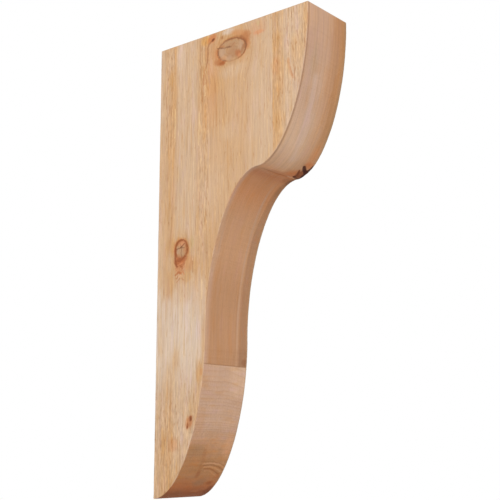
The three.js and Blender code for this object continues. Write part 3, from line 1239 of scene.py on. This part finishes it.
def front_marks(wood):
    """The sharp marks of the front: rims, the seam of tone, and the dead knot with a painted shadow
    below it.
    """
    x, sweep, front = wood.x, wood.sweep, wood.front

    thin = wood.stripe(x, -HALF_THICKNESS + 2.4, 0.9, 1.5) * wood.on_front(2, 205, 30)
    wood.paint(thin * 0.58, CLAY)
    far_rim = wood.smooth(37, 42.5, x) * wood.on_front(0, 240, 4)
    wood.tint(far_rim, (0.86, 0.94, 0.99))
    greyed = wood.smooth(40.5, 43, x) * wood.on_front(300, 690, 30)
    wood.paint(greyed * 0.4, STRAW)
    seam = wood.stripe(sweep, SWEEP_OF_TONE_SEAM - 0.6, 0.3, 0.8) * front
    wood.paint(seam * 0.5, CLAY)
    for place in (505, 515):
        faint = wood.stripe(sweep, place, 0.6, 1.2) * front
        wood.tint(faint * 0.22, (0.86, 0.8, 0.74))
    wood.marks(DEAD_KNOT_AND_SHADOW_MARKS, x, sweep, front)


def hidden_side_marks(wood):
    """Plainer knots on the far side, and the dead knot's face there."""
    out, down, far = wood.out, wood.down, wood.far_side
    for seed, knot in zip((52, 56), FAR_KNOTS):
        paint_knot(wood, knot, far, seed, CHESTNUT, 0.1)
    wood.marks(FAR_MARKS, out, down, far)
    dead = wood.oval(out, down, *DEAD_KNOT_FAR_FACE[:2]) + wood.ragged * 0.12
    wood.paint(wood.smooth(1.6, 1, dead) * far * 0.7, BRONZE)
    wood.paint(wood.smooth(1.05, 0.85, dead) * far * 0.92, PITCH)


def end_grain(wood):
    """The sawn top: bands of rings as arcs, latewood lines, rays, saw marks and drying checks."""
    x, out, top = wood.x, wood.out, wood.top
    radius = wood.vector(ring_radius(wood), 0, 0)
    bands = wood.noise(radius, (11, 1, 1), 63, detail=2)
    wood.brighten(bands * top * 0.07 + 1)
    wood.tint(wood.smooth(0, 0.9, bands) * top * 0.6, (1.05, 1, 0.9))
    late = wood.noise(radius, (3.4, 1, 1), 64, detail=1)
    wood.tint(wood.smooth(0.05, 0.9, late) * top * 0.85, (0.8, 0.68, 0.56))
    rays = wood.noise(wood.place, (0.9, 16, 60), 62, detail=2)
    wood.brighten(rays * top * 0.05 + 1)
    sawn = wood.noise(wood.vector(out + x * x / 900, x, 0), (1.3, 60, 1), 65, detail=2)
    wood.brighten(sawn * top * 0.03 + 1)
    wood.marks(TOP_CHECKS, x, out, top)


def worn_and_highlit_rims(wood):
    """Edges lighter and greyer, partly rubbed and partly a painted highlight, with a little grime in
    places.
    """
    wear_and_highlight = wood.smooth(2, 0.3, wood.rim + wood.ragged * 0.5)
    places = wood.noise(wood.place, (16, 16, 22), 61)
    # A painted highlight along the edges, together with their rubbed wear
    wood.paint(wear_and_highlight * wood.smooth(-0.7, 0.5, places) * 0.4, PALE)
    wood.tint(wear_and_highlight * wood.smooth(0.3, -0.8, places) * 0.3, (0.74, 0.64, 0.54))


def build_timber():
    mesh = timber_mesh()
    for name, stages in (
        ("cedar_near_side", (broad_near_side, near_side_patches, wood_figure, upper_knot, lower_knot)),
        ("cedar_front", (broad_front, wood_figure, front_marks)),
        ("cedar_other_faces", (wood_figure, hidden_side_marks, end_grain)),
    ):
        mesh.materials.append(timber_material(name, (*stages, worn_and_highlit_rims)))
    mesh.normals_split_custom_set_from_vertices(area_weighted_normals(mesh).tolist())
    piece = bpy.data.objects.new("bracket_timber", mesh)
    bpy.context.scene.collection.objects.link(piece)
    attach(piece, "root")
    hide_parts("bracket")
    return piece


# The photograph's view, from the near side and a little below: metres, and degrees
CAMERA_PLACE = (-1.0152, -0.9673, -0.2490)
CAMERA_YAW = 39.477
CAMERA_PITCH = 11.22
SENSOR_MM = 36
LENS_MM = 71.24


def add_camera():
    yaw, pitch = math.radians(CAMERA_YAW), math.radians(CAMERA_PITCH)
    level = math.cos(pitch)
    direction = Vector((level * math.cos(yaw), level * math.sin(yaw), math.sin(pitch)))
    data = bpy.data.cameras.new("camera")
    data.sensor_width = SENSOR_MM
    data.lens = LENS_MM
    data.clip_start = 0.05
    data.clip_end = 100
    camera = bpy.data.objects.new("camera", data)
    camera.location = CAMERA_PLACE
    camera.rotation_euler = direction.to_track_quat("-Z", "Y").to_euler()
    bpy.context.scene.collection.objects.link(camera)
    bpy.context.scene.camera = camera


# The studio in metres: lights as (name, place, width, watts), and a round floor, so that its far
# edge is a level line from every side
LIGHTS = (
    ("key_light", (-2.9, -1.45, 1.1), 1.4, 89.5),
    ("fill_light", (2.4, 1.6, 1.3), 1.6, 50),
)
LIT_PLACE = (0, -0.1, 0)
FLOOR_HEIGHT = -0.8
FLOOR_RADIUS = 9
FLOOR_STEPS = 180
WHITE = (1, 1, 1, 1)
FLOOR_GREY = (0.5, 0.5, 0.5, 1)


def add_light(name, place, width, watts):
    data = bpy.data.lights.new(name, "AREA")
    data.shape = "DISK"
    data.size = width
    data.energy = watts
    light = bpy.data.objects.new(name, data)
    light.location = place
    light.rotation_euler = (Vector(LIT_PLACE) - Vector(place)).to_track_quat("-Z", "Y").to_euler()
    bpy.context.scene.collection.objects.link(light)


def add_floor():
    corners = []
    for step in range(FLOOR_STEPS):
        turn = TURN * step / FLOOR_STEPS
        corners.append((FLOOR_RADIUS * math.cos(turn), FLOOR_RADIUS * math.sin(turn), FLOOR_HEIGHT))
    data = bpy.data.meshes.new("studio_floor")
    data.from_pydata(corners, [], [tuple(range(FLOOR_STEPS))])
    material = bpy.data.materials.new("studio_floor_paint")
    material.use_nodes = True
    material.node_tree.nodes["Principled BSDF"].inputs["Base Color"].default_value = FLOOR_GREY
    data.materials.append(material)
    floor = bpy.data.objects.new("studio_floor", data)
    bpy.context.scene.collection.objects.link(floor)


def build_studio():
    bpy.context.scene.view_settings.view_transform = "Standard"
    world = bpy.data.worlds.new("studio")
    world.use_nodes = True
    background = world.node_tree.nodes["Background"]
    background.inputs["Color"].default_value = WHITE
    background.inputs["Strength"].default_value = 1
    bpy.context.scene.world = world
    for light in LIGHTS:
        add_light(*light)
    add_floor()


add_camera()
build_timber()
build_studio()
